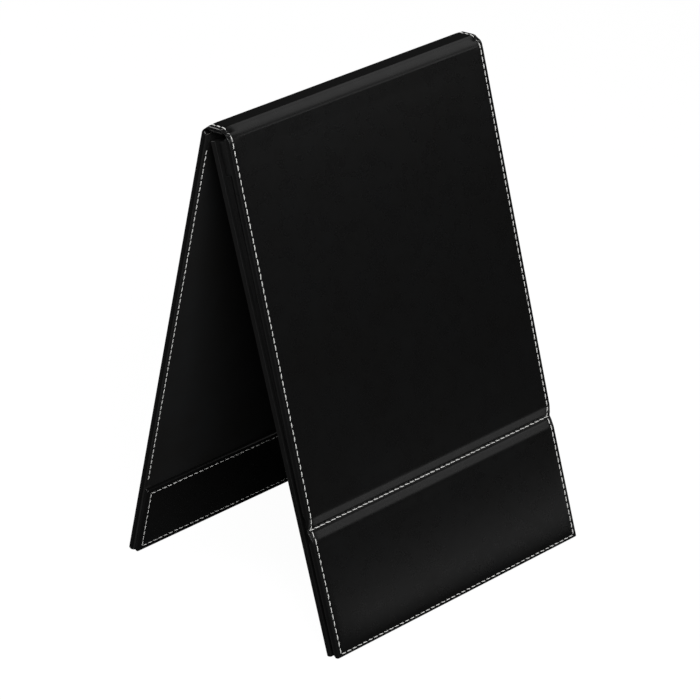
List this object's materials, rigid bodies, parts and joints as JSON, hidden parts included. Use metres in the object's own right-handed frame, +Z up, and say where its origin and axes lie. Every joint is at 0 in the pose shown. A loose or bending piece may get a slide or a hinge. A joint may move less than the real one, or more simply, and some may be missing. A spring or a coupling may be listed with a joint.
{
  "type": "photo album stand",
  "caption": "Leather-look photo album that stands as a tent: padded covers hinged on a flat spine, a stitched fold low on the front, an inside pocket and a bound page block.",
  "frame": {"origin": "on the table, under the middle of the album's width and of its front-to-back spread", "axes": "+X along the spine, +Y from the front cover towards the back cover, +Z up"},
  "size_m": [0.205, 0.1902, 0.3127],
  "materials": {
    "cover_leather": "fine-grain black leather, satin",
    "lining_leather": "smooth black lining leather, satin",
    "white_thread": "twisted white thread",
    "greyboard": "pressed grey board",
    "foam": "thin open-cell foam",
    "black_card": "matt black card with paler cut edges",
    "steel": "nickel-plated, satin"
  },
  "bodies": {
    "spine": {"spine_skin": "cover_leather", "spine_board": "greyboard", "spine_lining": "lining_leather", "spine_stitching": "white_thread", "front_hinge_strip": "cover_leather", "back_hinge_strip": "cover_leather"},
    "front_cover": {"front_cover_skin": "cover_leather", "front_cover_foam": "foam", "front_cover_board": "greyboard", "front_cover_lining": "lining_leather", "front_cover_stitching": "white_thread", "crease_strip": "cover_leather", "crease_stitching": "white_thread"},
    "front_foot": {"front_foot_skin": "cover_leather", "front_foot_foam": "foam", "front_foot_board": "greyboard", "front_foot_lining": "lining_leather", "front_foot_stitching": "white_thread"},
    "back_cover": {"back_cover_skin": "cover_leather", "back_cover_foam": "foam", "back_cover_board": "greyboard", "back_cover_lining": "lining_leather", "back_cover_stitching": "white_thread", "pocket_side_welts": "lining_leather", "pocket_bottom_welt": "lining_leather", "pocket_board": "greyboard", "pocket_skin": "cover_leather", "pocket_lining": "lining_leather", "pocket_stitching": "white_thread"},
    "page_block": {"backing_board": "greyboard", "backing_board_wrap": "lining_leather", "backing_board_lining": "lining_leather", "page_hinge_strip": "lining_leather", "binding_bar": "black_card", "leaves": "black_card", "leaf_spacers": "lining_leather", "binding_posts": "steel", "binding_screws": "steel"}
  },
  "joints": [
    {"name": "front_cover_hinge", "type": "hinge", "parent": "spine", "child": "front_cover", "pos_m": [0, -0.01017, 0.31209], "axis": [-1, 0, 0], "range_deg": [-10, 60], "deforming": ["front_hinge_strip"]},
    {"name": "back_cover_hinge", "type": "hinge", "parent": "spine", "child": "back_cover", "pos_m": [0, 0.00976, 0.31035], "axis": [1, 0, 0], "range_deg": [-20.2, 60], "deforming": ["back_hinge_strip"]},
    {"name": "front_fold", "type": "hinge", "parent": "front_cover", "child": "front_foot", "pos_m": [0, -0.07062, 0.07828], "axis": [-1, 0, 0], "range_deg": [0, 90], "deforming": ["crease_strip"]},
    {"name": "page_hinge", "type": "hinge", "parent": "spine", "child": "page_block", "pos_m": [0, -0.00514, 0.30765], "axis": [-1, 0, 0], "range_deg": [-10, 60], "deforming": ["page_hinge_strip"]}
  ],
  "couplings": [
    {"joint": "page_hinge", "follows": "front_cover_hinge", "ratio": 1}
  ]
}
